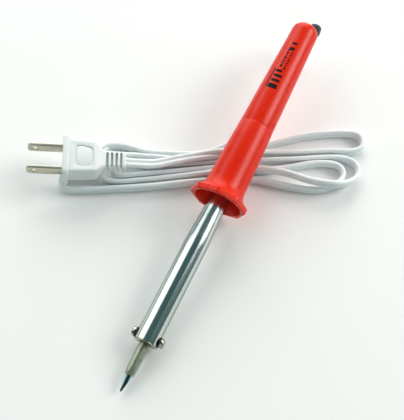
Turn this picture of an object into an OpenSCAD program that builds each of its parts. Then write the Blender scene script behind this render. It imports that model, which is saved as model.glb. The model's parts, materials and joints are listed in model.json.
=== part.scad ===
// Pencil soldering iron, put down on a table with its flat twin lead gathered into a loose hank.
// X is to the right, Y runs from the bit to the rear of the handle, Z is up from the table.

/* [Pose] */
// Angle of the iron above the table
tilt = 7.5; // [7.2:0.1:7.8]

/* [Bit] */
// Diameter of the bit's shank
shank_d = 5.3; // [5.1:0.05:5.35]
// Length of the whole bit
bit_len = 72; // [70:1:72]
// Length of the working cone
cone_len = 8.3; // [7:0.1:9]
// Diameter of the cone where it leaves the shank
cone_base_d = 3.8; // [3.4:0.1:4]
// Diameter of the blunt point
point_d = 1; // [0.8:0.1:1.2]

/* [Barrel] */
// Outside diameter of the heater barrel
barrel_d = 11.8; // [11.6:0.1:12]
// Wall of the barrel
barrel_wall = 0.5; // [0.4:0.05:0.6]
// Outside diameter of the barrel's narrow tail
tail_d = 9.9; // [9.6:0.1:9.9]
// Distance from the point to the barrel's front edge
barrel_front = 25.2; // [25:0.1:25.4]
// Diameter of the bit screws' thread
screw_d = 2.9; // [2.5:0.1:3]
// Diameter of the bit screws' heads
screw_head_d = 4.7; // [4.4:0.1:5]

/* [Handle] */
// Width of the octagonal flange across its corners
flange_d = 30.3; // [29:0.1:31]
// Distance from the point to the flange's front face
flange_front = 102.6; // [102:0.1:103]
// Outside diameter of the guard where it meets the grip
guard_rear_d = 17.9; // [17.8:0.05:18.2]
// Outside diameter of the grip's front end
grip_d = 17.7; // [17.6:0.05:17.75]
// Distance from the point to the end of the handle
iron_len = 213.5; // [213:0.5:216]

/* [Plug] */
// Height of the centre of the plug's face above the table
plug_z = 15.3; // [15.3:0.1:15.6]
// Length of the blades outside the plug
blade_len = 17.8; // [15.9:0.1:18.3]
// Distance between the blades' centres
blade_pitch = 12.7; // [12.6:0.1:12.8]
// Width of one blade
blade_w = 6.35; // [6:0.05:6.5]
// Thickness of one blade
blade_t = 1.5; // [1.4:0.05:1.6]

/* [Cord] */
// Width of the flat twin lead
cord_w = 5.2; // [5:0.1:5.3]
// Thickness of the flat twin lead
cord_t = 2.6; // [2.4:0.1:2.7]

/* [Hidden] */
$fn = 64;
EPS = 0.01;
RUN = 0.05; // radial clearance of a running fit

barrel_r = barrel_d / 2;
barrel_in_r = barrel_r - barrel_wall;
ring_lip = 0.25;                       // how far the end ring stands out of the barrel
ring_front = barrel_front - 0.5;
taper_from = 79.5;                     // the barrel narrows between these two stations
taper_to = 97.5;
tail_r = tail_d / 2;
tail_in_r = tail_r - barrel_wall;
shoulder = 124.3;                      // inner shoulder of the guard that the barrel hangs on
tail_flange_r = 7.6;
shank_seat = 24;                     // behind this station the shank is turned down to fit its holder
shank_back_r = shank_d / 2 - 0.2;
screw_s = 27.9;                        // station of the two bit screws
washer_r = 2.55;
holder_r = 3.5;
holder_boss_r = barrel_in_r - RUN;
holder_front = barrel_front + 1;
holder_back = 73;
coil_r = 4.3;
coil_from = 36;
coil_to = 66;
coil_pitch = 2.5;
mica_from = 33;
mica_to = 69;
ceramic_from = 73.5;
ceramic_to = 79.3;
lead_x = 2.2;                          // the two heater leads lie this far off the axis
joint_s = 147.8;                       // seam between guard and grip
spigot_r = 7.7;
bore_r = 6.9;                          // bore of the grip's front end
clamp_from = 154;
clamp_to = 160;
clamp_mid = (clamp_from + clamp_to) / 2;
clamp_screw_x = 3.6;
inner_cord_from = 151;
inner_cord_to = 201.5;
outlet_tilt = [14, 10];                // the outlet leans down and to the right

// The barrel's end ring is the lowest point, and it stands on the table.
tip_z = (barrel_r + ring_lip) * cos(tilt) - ring_front * sin(tilt);
tip_y = -107.5 * cos(tilt);              // the iron's middle is over the origin

// Half width of the handle's end, from the grip's last straight station to the dome's top
dome_from = 207;
dome_r = 7.2;
dome_power = 3;
dome_points = [for (i = [0 : 14]) let (u = sin(90 * i / 14))
    [dome_r * pow(1 - pow(u, dome_power), 1 / dome_power), dome_from + (iron_len - dome_from) * u]];

plug_face = [-81.8, -16.6];            // centre of the plug's outer face, seen from above
plug_turn = [4, 8, 28];                // roll, lift of the face and heading: the plug lies across the hank
plate_t = 3;
plug_shoulder = 16.8;                  // stations along the plug
plug_neck = 20.8;
plug_len = 32;
plate_w = 22.4;
plate_h = 15.5;
body_w = 18.2;
body_h = 11.6;
neck_w = 10;
neck_h = 6.8;
insert_w = 15.6;                       // stiff insert inside the body
rib_pitch = 2.35;
rib_slot = 1.1;

// Route of the cord sleeve out of the handle, down to where the bare cord starts
SLEEVE = [[0.6, 92, 28.2, 90], [0.9, 94, 27.9, 90], [1, 94.5, 27.9, 90], [1.7, 98, 27.5, 90],
    [2.4, 103, 27, 90], [2.7, 108.2, 26.4, 90], [2.6, 111.7, 23.4, 90]];

// Route of the cord from the strain relief to the plug: x, y, z and roll.
// Roll 0 has the flat lead on its edge and 90 has it flat.
rear_points = 4;                       // points that are still coming down from the handle
ROUTE = [
    [1.6, 112.6, 18.2, 90], [-0.6, 110.6, 12, 90], [-3.5, 105.5, 7.2, 90], [-6, 97.5, 3.8, 90],
    [-7, 86, 2.6, 60], [-7.5, 66, 2.7, 0], [-8.5, 52, 2.7, 0], [-11, 41, 2.7, 0], [-16.5, 31, 2.7, 0],
    // out to the left and round under the plug's shoulder
    [-26, 22.7, 2.7, 0], [-38, 17, 2.7, 0], [-48.2, 13, 2.7, 0], [-55, 11.7, 2.7, 0], [-62, 10.7, 2.7, 0],
    [-68.3, 8, 2.9, 5], [-71.3, 3.5, 4, 30], [-71.8, -1, 5, 45], [-68.2, -9, 4.9, 45],
    [-62, -12.2, 3.4, 15], [-54, -10, 2.7, 0],
    [-42.5, -3, 2.7, 0], [-25, 8.5, 2.7, 0], [-5.5, 19.5, 6, 0],
    // the large right-hand loop, over the small one
    [8, 26.5, 8.1, 0], [21.5, 30.5, 8.1, 0], [35, 32, 8.1, 0], [46, 35.2, 8.1, 0], [52.5, 41, 5, 0],
    [55.2, 47.5, 2.7, 0], [53.2, 53.2, 2.7, 0], [47.5, 55.2, 2.7, 0], [38.5, 52.2, 2.7, 0],
    [21, 42.2, 2.7, 0], [-9, 26, 2.7, 0], [-28, 14.5, 2.7, 0], [-46.5, 5.2, 2.7, 0],
    // the short left-hand fold under the plug
    [-57, 3.2, 2.7, 0], [-61.2, -0.4, 2.7, 0], [-60.4, -5.4, 2.7, 0], [-55.5, -7, 2.7, 0],
    [-44, 0, 2.7, 0], [-26, 11.5, 2.7, 0], [-8, 22.5, 2.7, 0], [5, 26.5, 2.7, 0],
    // the small right-hand loop
    [21.5, 37.2, 2.7, 0], [29.7, 43.6, 2.7, 0], [38, 48.2, 2.7, 0], [44.4, 49.4, 2.7, 0],
    [48.4, 46, 2.7, 0], [48, 40, 2.7, 0], [43.5, 34, 2.7, 0], [35.5, 29.5, 2.7, 0], [22.5, 26, 2.7, 0],
    [9, 23, 2.7, 0], [-4.5, 16.5, 2.7, 0], [-20, 7, 2.7, 0], [-40, -6, 2.7, 0],
    // the long left-hand loop, round the plug's front corner and back under the plug
    [-60, -17.5, 2.7, 0], [-72, -24, 2.7, 0], [-77.2, -25.4, 2.7, 0], [-81.2, -22.8, 2.7, 0],
    [-82.2, -18, 2.7, 0], [-79.8, -13.4, 2.7, 10], [-76, -8.6, 2.6, 50], [-71, -3, 1.5, 90],
    [-66, 2.2, 2.5, 60],
    [-57.5, 6.3, 2.7, 0], [-46.5, 10.7, 2.7, 0], [-28.5, 18, 2.7, 0], [-12, 28.5, 2.7, 0],
    [-2, 37.5, 2.7, 0],
    // the upper right-hand loop
    [19, 57, 2.7, 0], [31, 65.3, 2.7, 0], [42, 71, 2.7, 0], [47.9, 71, 2.7, 0],
    [50.9, 66, 2.7, 0], [47.6, 61, 2.7, 0], [36.5, 55.6, 2.7, 0],
    [22, 47.5, 2.7, 0], [9, 40.5, 3.5, 0],
    // over the others, under the handle and to the plug
    [-1, 34.5, 7.2, 0], [-8, 30, 7.9, 0], [-14, 26.5, 7.4, 45], [-23, 20.5, 6.8, 90], [-32.5, 13.2, 7, 90],
    [-40, 6.4, 7.8, 90], [-46.5, 2, 9.6, 90]];

// ---- helpers ----

// Draws children along the iron: their z is the distance from the bit's point, their -y is up.
module on_iron() {
    translate([0, tip_y, tip_z]) rotate([tilt - 90, 0, 0]) children();
}

// A solid of revolution along the iron from [radius, station] points
module turned(points) {
    on_iron() rotate_extrude() polygon(points);
}

module tube(r_out, r_in, from, to) {
    turned([[r_in, from], [r_out, from], [r_out, to], [r_in, to]]);
}

// A round wire from a to b
module wire(a, b, r) {
    d = b - a;
    translate(a) rotate([0, acos(d[2] / norm(d)), atan2(d[1], d[0])])
        cylinder(r = r, h = norm(d), $fn = 24);
}

module rounded_rect(w, h, r) {
    square([w - 2 * r, h], center = true);
    square([w, h - 2 * r], center = true);
    for (x = [-1, 1], y = [-1, 1]) translate([x * (w / 2 - r), y * (h / 2 - r)]) circle(r, $fn = 32);
}

module twin_section(w, t) {
    for (side = [-1, 1]) translate([side * (w - t) / 2, 0]) circle(t / 2, $fn = 32);
    square([w - t, t * 0.62], center = true);
}

// Draws children in the plug's frame: x runs from its outer face to the cable.
module on_plug() {
    translate([plug_face[0], plug_face[1], plug_z]) rotate(plug_turn) children();
}

// A slab across the plug at x, w wide and h high
module plug_slab(x, t, w, h, r) {
    translate([x, 0, 0]) rotate([90, 0, 90]) linear_extrude(t) rounded_rect(w, h, r);
}

// ---- swept cord ----

function unit(v) = v / norm(v);
function place(p) = [p[0], p[1], p[2]];
function heading(path, i) = unit(place(path[min(i + 1, len(path) - 1)]) - place(path[max(i - 1, 0)]));

// Direction of the section's width at point i, rolled from upright about the path
function wide_axis(path, i, lean) =
    let (t = heading(path, i), up = lean ? cross([-1, 0, 0], t) : [0, 0, 1],
         side = unit(cross(t, up)), top = cross(side, t))
    cos(path[i][3]) * top + sin(path[i][3]) * side;

// Outline of a flat twin lead: two lobes joined side by side, five points to a lobe
function outline(w, t) = [for (half = [0, 180], a = [-72 : 36 : 72])
    [(half == 0 ? 1 : -1) * (w - t) / 2 + t / 2 * cos(a + half), t / 2 * sin(a + half)]];

function ring(path, i, w, t, lean) =
    let (along = heading(path, i), wide = wide_axis(path, i, lean), thin = cross(along, wide))
    [for (q = outline(w, t)) place(path[i]) + q[0] * wide + q[1] * thin];

// A closed solid through rings that all have the same number of points
module skin(rings) {
    n = len(rings[0]);
    last = len(rings) - 1;
    faces = concat([[for (k = [0 : n - 1]) k]],
        [for (i = [0 : last - 1], k = [0 : n - 1])
            [i * n + k, (i + 1) * n + k, (i + 1) * n + (k + 1) % n, i * n + (k + 1) % n]],
        [[for (k = [n - 1 : -1 : 0]) last * n + k]]);
    polyhedron(points = [for (r = rings, p = r) p], faces = faces, convexity = 12);
}

// ---- bit and its screws ----

module soldering_bit() {
    r = shank_d / 2;
    color("dimgray") turned([[0, 0], [point_d / 2, 0], [cone_base_d / 2, cone_len], [r - 0.45, cone_len],
        [r - 0.2, cone_len + 1.9], [r - 0.05, cone_len + 3.8], [r, cone_len + 5.5],
        [r, shank_seat], [shank_back_r, shank_seat], [shank_back_r, bit_len - 0.4],
        [shank_back_r - 0.4, bit_len], [0, bit_len]]);
}

// Draws children along a bit screw, which points out of the barrel to the side given, -1 or 1.
module on_screw(side) {
    on_iron() translate([0, 0, screw_s]) rotate([0, 90 * side, 0]) children();
}

screw_in = shank_back_r + 0.03;
washer_in = barrel_r + 0.02;
washer_out = washer_in + 0.5;
head_out = washer_out + 2;

module bit_screw(side) {
    r = screw_head_d / 2;
    color("silver") on_screw(side) difference() {
        union() {
            translate([0, 0, screw_in]) cylinder(d = screw_d, h = washer_out + 0.3 - screw_in);
            rotate_extrude() polygon([[0, washer_out + EPS], [r, washer_out + EPS], [r, head_out - 0.7],
                [r - 0.25, head_out - 0.25], [r - 0.8, head_out], [0, head_out]]);
        }
        translate([-r - 1, -0.4, head_out - 0.9]) cube([2 * r + 2, 0.8, 2]);
    }
}

module bit_washer(side) {
    color("darkslategray") on_screw(side) difference() {
        translate([0, 0, washer_in]) cylinder(r = washer_r, h = washer_out - washer_in);
        translate([0, 0, washer_in - 1]) cylinder(r = screw_d / 2 + RUN, h = 3);
    }
}

module left_screw() { bit_screw(-1); }
module right_screw() { bit_screw(1); }
module left_washer() { bit_washer(-1); }
module right_washer() { bit_washer(1); }

// ---- barrel and heater ----

module barrel() {
    color("lightsteelblue") difference() {
        turned([[barrel_in_r, barrel_front], [barrel_r, barrel_front], [barrel_r, taper_from],
            [tail_r, taper_to], [tail_r, shoulder], [tail_flange_r, shoulder],
            [tail_flange_r, shoulder + 0.7], [tail_in_r, shoulder + 0.7], [tail_in_r, taper_to],
            [barrel_in_r, taper_from]]);
        on_iron() translate([-barrel_d, 0, screw_s]) rotate([0, 90, 0])
            cylinder(r = screw_d / 2 + 0.2, h = 2 * barrel_d);
    }
}

// A flanged ring, pressed into the barrel's mouth
module barrel_end_ring() {
    collar_in_r = barrel_in_r - 0.8;
    color("darkkhaki") turned([[3, ring_front], [barrel_r + ring_lip, ring_front],
        [barrel_r + ring_lip, barrel_front - EPS], [barrel_in_r - 0.02, barrel_front - EPS],
        [barrel_in_r - 0.02, holder_front - 0.1], [collar_in_r, holder_front - 0.1],
        [collar_in_r, barrel_front - EPS], [3, barrel_front - EPS]]);
}

module bit_holder() {
    bore = shank_back_r + RUN;
    color("slategray") difference() {
        turned([[bore, holder_front], [holder_boss_r, holder_front], [holder_boss_r, 31.5],
            [holder_r, 31.5], [holder_r, holder_back], [bore, holder_back]]);
        on_iron() translate([-barrel_d, 0, screw_s]) rotate([0, 90, 0])
            cylinder(r = screw_d / 2 + RUN, h = 2 * barrel_d);
    }
}

module inner_mica() { color("wheat") tube(3.95, 3.55, mica_from, mica_to); }
module outer_mica() { color("wheat") tube(5, 4.65, mica_from, mica_to); }

module heating_coil() {
    wire_r = 0.22;
    turns = (coil_to - coil_from) / coil_pitch;
    steps = round(turns * 16);
    color("gray") on_iron() skin([for (i = [0 : steps]) let (a = 360 * turns * i / steps)
        [for (b = [0 : 60 : 300]) [(coil_r + wire_r * cos(b)) * cos(a), (coil_r + wire_r * cos(b)) * sin(a),
            coil_from + coil_pitch * a / 360 - wire_r * sin(b)]]]);
}

module rear_ceramic() {
    color("ivory") on_iron() difference() {
        translate([0, 0, ceramic_from]) cylinder(r = 5.2, h = ceramic_to - ceramic_from);
        for (x = [-1, 1]) translate([x * lead_x, 0, ceramic_from - 1]) cylinder(r = 0.5, h = 10);
    }
}

// One lead from each end of the coil; the front one comes back outside the outer mica.
module heater_leads() {
    r = 0.16;
    lead_r = 0.35;
    splice_s = 139;
    turn_in_s = (holder_back + ceramic_from) / 2;
    color("gray") on_iron() {
        wire([coil_r, 0, coil_to + 0.05], [coil_r, 0, turn_in_s], r);
        wire([coil_r, 0, turn_in_s], [lead_x, 0, turn_in_s], r);
        wire([-coil_r, 0, coil_from + 0.6], [-coil_r, 0, 32.2], r);
        wire([-coil_r, 0, 32.2], [-5.2, 0, 32.2], r);
        wire([-5.2, 0, 32.2], [-5.2, 0, turn_in_s], r);
        wire([-5.2, 0, turn_in_s], [-lead_x, 0, turn_in_s], r);
        for (x = [-1, 1]) wire([x * lead_x, 0, ceramic_from - 0.4], [x * lead_x, 0, splice_s], lead_r);
    }
}

module lead_sleeves() {
    color("white") on_iron() for (x = [-1, 1]) translate([x * lead_x, 0, ceramic_to + 0.2]) difference() {
        cylinder(r = 1.1, h = 54);
        translate([0, 0, -1]) cylinder(r = 0.4, h = 60);
    }
}

// ---- wiring inside the handle ----

module splice_caps() {
    color("gainsboro") on_iron() for (x = [-1, 1]) translate([x * lead_x, 0, 134]) difference() {
        cylinder(r = 1.7, h = 12);
        translate([0, 0, -1]) cylinder(r = 1.15, h = 14);
    }
}

module cord_cores() {
    core_x = (cord_w - cord_t) / 2;
    color("peru") on_iron() for (x = [-1, 1])
        wire([x * lead_x, 0, 140.5], [x * core_x, 0, inner_cord_from - 0.2], 0.55);
}

module inner_cord() {
    color("white") on_iron() translate([0, 0, inner_cord_from])
        linear_extrude(inner_cord_to - inner_cord_from) twin_section(cord_w, cord_t);
}

module cord_clamp() {
    width = 2 * clamp_screw_x + 2.8;
    color("tan") on_iron() difference() {
        translate([-width / 2, cord_t / 2 + 0.02, clamp_from]) cube([width, 1.9, clamp_to - clamp_from]);
        for (x = [-1, 1]) translate([x * clamp_screw_x, 0, clamp_mid]) rotate([-90, 0, 0])
            cylinder(r = 0.8, h = 6);
    }
}

module cord_clamp_screws() {
    color("silver") on_iron() for (x = [-1, 1])
        translate([x * clamp_screw_x, cord_t / 2 + 1.94, clamp_mid]) rotate([-90, 0, 0])
            difference() {
                union() {
                    cylinder(r = 1.35, h = 0.95);
                    translate([0, 0, -5]) cylinder(r = 0.75, h = 5.2);
                }
                translate([-2, -0.2, 0.5]) cube([4, 0.4, 1]);
            }
}

module clamp_washer() {
    color("silver") tube(tail_flange_r, tail_in_r, shoulder + 0.72, shoulder + 2.2);
}

// ---- handle ----

// Octagonal flange with a hollow cup, then a long sleeve that narrows to the seam
module front_guard() {
    flange_t = 3;
    neck_r = 10.25;
    fillet = [for (a = [0 : 15 : 90])
        [neck_r + 3.4 * (1 - sin(a)), flange_front + flange_t + 7.5 * (1 - cos(a))]];
    sleeve = [[9.9, 121.8], [9.7, 130.4], [9.33, 139], [guard_rear_d / 2, joint_s]];
    inside = [[spigot_r + 0.05, joint_s], [spigot_r + 0.05, shoulder], [tail_r + 0.06, shoulder],
        [tail_r + 0.06, 117.5], [7.6, 117.5], [8.6, 115.5], [11.6, 106], [12.3, flange_front]];
    color("red") difference() {
        union() {
            on_iron() translate([0, 0, flange_front]) cylinder(d = flange_d, h = flange_t, $fn = 8);
            turned(concat([[spigot_r + 0.05, flange_front + EPS], [fillet[0][0], flange_front + EPS]],
                fillet, sleeve, [[spigot_r + 0.05, joint_s]]));
            tube(spigot_r + 0.1, tail_r + 0.06, 110, shoulder);
        }
        turned(concat([[0, joint_s + 1], [spigot_r + 0.05, joint_s + 1]], inside,
            [[12.3, flange_front - 1], [0, flange_front - 1]]));
    }
}

// Draws children along the cord outlet, from a little inside the handle's rear end.
module on_outlet() {
    on_iron() translate([0.6, 0.8, 200]) rotate([-outlet_tilt[0], outlet_tilt[1], 0]) children();
}

module rear_grip() {
    side = [[grip_d / 2, joint_s + 0.03], [8.43, 165.6], [8.05, 179.2], [7.6, 193]];
    color("red") difference() {
        turned(concat([[bore_r, shoulder + 2.25], [spigot_r, shoulder + 2.25], [spigot_r, joint_s + 0.03]],
            side, dome_points, [[0, 203], [5.3, 203], [bore_r, 166]]));
        on_outlet() cylinder(r = 3.25, h = 22);
    }
    // ledge that the cord is clamped against
    ledge_h = bore_r + 1 - cord_t / 2 - 0.02;
    color("red") on_iron() intersection() {
        translate([-8, -bore_r - 1, clamp_from]) cube([16, ledge_h, clamp_to - clamp_from]);
        difference() {
            cylinder(r = bore_r + 0.2, h = 190);
            for (x = [-1, 1]) translate([x * clamp_screw_x, 0, clamp_mid]) rotate([90, 0, 0])
                cylinder(r = 0.78, h = 4.2);
        }
    }
}

// Black rubber sleeve: round in the outlet, then flat and bending down with the cord
module strain_relief() {
    path = concat(SLEEVE, [ROUTE[0] + [0, 0, 0.02, 0]]);
    width = [8, 8, 6.3, 6.3, 6.3, 6.2, 6, 5.8];
    height = [7.98, 7.98, 6.28, 6.28, 6.28, 5.6, 4.6, 3.8];
    color("black") skin([for (i = [0 : len(path) - 1]) ring(path, i, width[i], height[i], true)]);
}

// ---- cord and plug ----

plug_way = [cos(plug_turn[1]) * cos(plug_turn[2]), cos(plug_turn[1]) * sin(plug_turn[2]), -sin(plug_turn[1])];
plug_end = [plug_face[0], plug_face[1], plug_z] + (plug_len + 0.1) * plug_way;

module power_cord() {
    path = concat(ROUTE, [concat(plug_end, 90)]);
    color("white") skin([for (i = [0 : len(path) - 1]) ring(path, i, cord_w, cord_t, i < rear_points)]);
}

module plug_body() {
    color("white") on_plug() difference() {
        union() {
            plug_slab(0, plate_t, plate_w, plate_h, 2);
            hull() {
                plug_slab(plate_t - 0.5, 0.5, body_w, body_h, 1);
                plug_slab(plug_shoulder, 0.2, body_w - 1.6, body_h - 0.4, 1);
            }
            hull() {
                plug_slab(plug_shoulder, 0.2, body_w - 1.6, body_h - 0.4, 1);
                plug_slab(plug_neck, 0.2, neck_w, neck_h, 2);
            }
            plug_slab(plug_neck, plug_len - plug_neck, neck_w, neck_h, 2);
        }
        // slots of the flexible neck
        for (i = [0 : 3]) difference() {
            plug_slab(plug_neck + 1.2 + i * rib_pitch, rib_slot, 14, 12, 1);
            plug_slab(plug_neck + 0.8 + i * rib_pitch, rib_slot + 0.8, 6.6, 4, 1.5);
        }
        // shallow panel on the top and the underside
        for (up = [-1, 1]) translate([9.8, 0, up * (body_h / 2 + 0.1)]) linear_extrude(0.9, center = true)
            rounded_rect(9, 10.5, 2);
        translate([2, -insert_w / 2, -4]) cube([6.5, insert_w, 8]);
        for (y = [-1, 1]) {
            translate([-1, y * blade_pitch / 2 - blade_t / 2, -blade_w / 2]) cube([6, blade_t, blade_w]);
            translate([8, y * blade_pitch / 2, 0]) rotate([0, 90, 0]) cylinder(r = 1.45, h = 6.5);
        }
    }
}

// Stiff insert that the blades are riveted into before the body is moulded round it
module plug_bridge() {
    color("gray") on_plug() difference() {
        translate([2.02, -insert_w / 2 + 0.04, -3.95]) cube([6.4, insert_w - 0.08, 7.9]);
        for (y = [-1, 1]) translate([0, y * blade_pitch / 2 - blade_t / 2 - 0.02, -blade_w / 2 - 0.02])
            cube([12, blade_t + 0.04, blade_w + 0.04]);
    }
}

module plug_blades() {
    w = blade_w / 2;
    hole_x = -blade_len + 3.6;
    color("silver") on_plug() for (y = [-1, 1]) translate([0, y * blade_pitch / 2 + blade_t / 2, 0])
        rotate([90, 0, 0]) linear_extrude(blade_t) difference() {
            polygon([[8.4, -w], [-blade_len + 1.2, -w], [-blade_len, -w + 1.4], [-blade_len, w - 1.4],
                [-blade_len + 1.2, w], [8.4, w]]);
            translate([hole_x, 0]) circle(1.6);
        }
}

module blade_crimps() {
    color("silver") on_plug() for (y = [-1, 1]) translate([8.45, y * blade_pitch / 2, 0]) rotate([0, 90, 0])
        difference() {
            cylinder(r = 1.4, h = 5.8);
            translate([0, 0, 1.5]) cylinder(r = 0.9, h = 6);
        }
}

soldering_bit();
left_washer();
left_screw();
right_washer();
right_screw();
barrel();
barrel_end_ring();
bit_holder();
inner_mica();
heating_coil();
outer_mica();
rear_ceramic();
heater_leads();
lead_sleeves();
splice_caps();
cord_cores();
inner_cord();
cord_clamp();
cord_clamp_screws();
clamp_washer();
front_guard();
rear_grip();
strain_relief();
power_cord();
plug_body();
plug_bridge();
plug_blades();
blade_crimps();
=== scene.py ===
"""Looks of a pencil soldering iron with its flat twin lead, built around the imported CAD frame.

Pieces of the iron are made in the iron's own frame: x to the right, y down, z the distance from the
bit's point. Pieces of the plug are made in the plug's frame: x from its face to the cable, z up.
"""
import json
import math

import bmesh
import bpy
from mathutils import Matrix, Vector


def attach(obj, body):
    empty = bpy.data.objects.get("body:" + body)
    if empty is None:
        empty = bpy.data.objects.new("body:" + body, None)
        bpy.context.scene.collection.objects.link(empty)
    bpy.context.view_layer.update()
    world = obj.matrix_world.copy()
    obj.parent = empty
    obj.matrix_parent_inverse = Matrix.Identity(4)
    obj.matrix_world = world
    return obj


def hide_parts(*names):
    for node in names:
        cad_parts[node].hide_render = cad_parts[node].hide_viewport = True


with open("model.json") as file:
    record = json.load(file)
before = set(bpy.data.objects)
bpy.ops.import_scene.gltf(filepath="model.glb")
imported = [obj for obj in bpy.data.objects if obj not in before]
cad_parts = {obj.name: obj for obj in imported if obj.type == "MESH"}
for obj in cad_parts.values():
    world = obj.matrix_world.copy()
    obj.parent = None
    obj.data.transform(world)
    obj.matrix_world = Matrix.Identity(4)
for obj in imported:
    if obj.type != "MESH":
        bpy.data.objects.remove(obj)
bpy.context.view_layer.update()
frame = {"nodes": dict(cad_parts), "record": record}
MM = 0.001

# ---- places that come from the frame ----

MOUNTS = {m["name"]: m for m in frame["record"]["mounts"]}
SHANK_STATION = 19  # the bit's mount is this far behind its point
FORWARD = Vector(MOUNTS["bit_shank"]["axis"]).normalized()
TIP = Vector(MOUNTS["bit_shank"]["pos_m"]) + FORWARD * SHANK_STATION * MM
PLUG_FACE = Vector(MOUNTS["plug_blades"]["pos_m"])
PLUG_BACK = -Vector(MOUNTS["plug_blades"]["axis"]).normalized()


def frame_of(origin, x, y, z):
    """The matrix of a local frame with that origin and those axes."""
    return Matrix.Translation(origin) @ Matrix((x, y, z)).transposed().to_4x4()


RIGHT = Vector((1, 0, 0))
UP = Vector((0, 0, 1))
ON_IRON = frame_of(TIP, RIGHT, (-FORWARD).cross(RIGHT), -FORWARD)

# The plug is rolled a little about its own length
LEVEL = UP.cross(PLUG_BACK).normalized()
STEEP = PLUG_BACK.cross(LEVEL)
ROLL = math.radians(4)
ON_PLUG = frame_of(PLUG_FACE, PLUG_BACK, LEVEL * math.cos(ROLL) + STEEP * math.sin(ROLL),
                   STEEP * math.cos(ROLL) - LEVEL * math.sin(ROLL))

# ---- camera ----

CAMERA_AT = Vector((84.77, -193.39, 397.33)) * MM
CAMERA_AIM = Vector((-8.9, -4.04, 0)) * MM
CAMERA_ANGLE = math.radians(26.93)


def make_camera():
    camera = bpy.data.objects.new("camera", bpy.data.cameras.new("camera"))
    bpy.context.scene.collection.objects.link(camera)
    camera.location = CAMERA_AT
    camera.rotation_euler = (CAMERA_AIM - CAMERA_AT).to_track_quat("-Z", "Y").to_euler()
    camera.data.angle = CAMERA_ANGLE
    camera.data.clip_start = 0.01
    bpy.context.scene.camera = camera


make_camera()

# ---- materials ----

# A Mix node's sockets, once it mixes colours
MIX_FACTOR, MIX_A, MIX_B, MIX_RESULT = 0, 6, 7, 2


class Look:
    """A Principled material whose detail comes from the piece's own coordinates."""

    def __init__(self, name, colour, roughness, metallic=0.0, **sockets):
        self.material = bpy.data.materials.new(name)
        self.material.use_nodes = True
        self.tree = self.material.node_tree
        self.shader = self.tree.nodes["Principled BSDF"]
        self.shader.inputs["Base Color"].default_value = (*colour, 1)
        self.shader.inputs["Roughness"].default_value = roughness
        self.shader.inputs["Metallic"].default_value = metallic
        for socket, value in sockets.items():
            self.shader.inputs[socket.replace("_", " ")].default_value = value
        self.coordinates = self.tree.nodes.new("ShaderNodeTexCoord")
        self.colour = None
        self.normal = None

    def add(self, kind, links=(), **values):
        """Adds a node, sets its inputs by name and links sockets into it."""
        node = self.tree.nodes.new(kind)
        for socket, value in values.items():
            node.inputs[socket.replace("_", " ")].default_value = value
        for socket, source in links:
            self.tree.links.new(source, node.inputs[socket])
        return node

    def noise(self, grain, stretch=(1, 1, 1), detail=2.0):
        """Noise with grains of about that many millimetres, longer along a stretched axis."""
        place = self.add("ShaderNodeMapping", [("Vector", self.coordinates.outputs["Object"])])
        place.inputs["Scale"].default_value = [1 / (grain * MM * s) for s in stretch]
        texture = self.add("ShaderNodeTexNoise", [("Vector", place.outputs[0])], Scale=1, Detail=detail)
        return texture.outputs[0]

    def along(self, axis, start, end):
        """0 at start and 1 at end, in millimetres along one of the piece's own axes."""
        split = self.add("ShaderNodeSeparateXYZ", [("Vector", self.coordinates.outputs["Object"])])
        return self.spread(split.outputs[axis], start * MM, end * MM, 0, 1)

    def spread(self, source, low, high, to_low, to_high):
        """Maps the range from low to high onto the one from to_low to to_high."""
        node = self.add("ShaderNodeMapRange", [("Value", source)])
        for socket, value in zip(("From Min", "From Max", "To Min", "To Max"), (low, high, to_low, to_high)):
            node.inputs[socket].default_value = value
        return node.outputs[0]

    def tint(self, factor, colour):
        """Mixes colour over what the base colour is so far."""
        mix = self.tree.nodes.new("ShaderNodeMix")
        mix.data_type = "RGBA"
        mix.inputs[MIX_A].default_value = self.shader.inputs["Base Color"].default_value
        mix.inputs[MIX_B].default_value = (*colour, 1)
        if self.colour:
            self.tree.links.new(self.colour, mix.inputs[MIX_A])
        self.tree.links.new(factor, mix.inputs[MIX_FACTOR])
        self.colour = mix.outputs[MIX_RESULT]
        self.tree.links.new(self.colour, self.shader.inputs["Base Color"])
        return self

    def gloss(self, factor, low, high):
        """Roughness from low to high."""
        self.tree.links.new(self.spread(factor, 0.3, 0.7, low, high), self.shader.inputs["Roughness"])
        return self

    def relief(self, height, depth):
        """A bump of that many millimetres on top of those so far."""
        bump = self.add("ShaderNodeBump", [("Height", height)], Distance=depth * MM)
        if self.normal:
            self.tree.links.new(self.normal, bump.inputs["Normal"])
        self.normal = bump.outputs[0]
        self.tree.links.new(self.normal, self.shader.inputs["Normal"])
        return self


def red_plastic():
    """Satin moulded plastic: faint flow clouds, orange peel and a few fine handling marks."""
    look = Look("red_plastic", (0.77, 0.017, 0.001), 0.28, Specular_IOR_Level=0.25)
    look.tint(look.spread(look.noise(14, (1, 1, 3)), 0.35, 0.7, 0, 0.3), (0.8, 0.026, 0.003))
    look.tint(look.spread(look.noise(0.5, (1, 1, 24)), 0.66, 0.8, 0, 0.2), (0.82, 0.09, 0.03))
    look.gloss(look.noise(2.5, (1, 1, 4), 4), 0.24, 0.32)
    return look.relief(look.noise(0.9, detail=1), 0.003).relief(look.noise(0.18), 0.003).material


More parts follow.
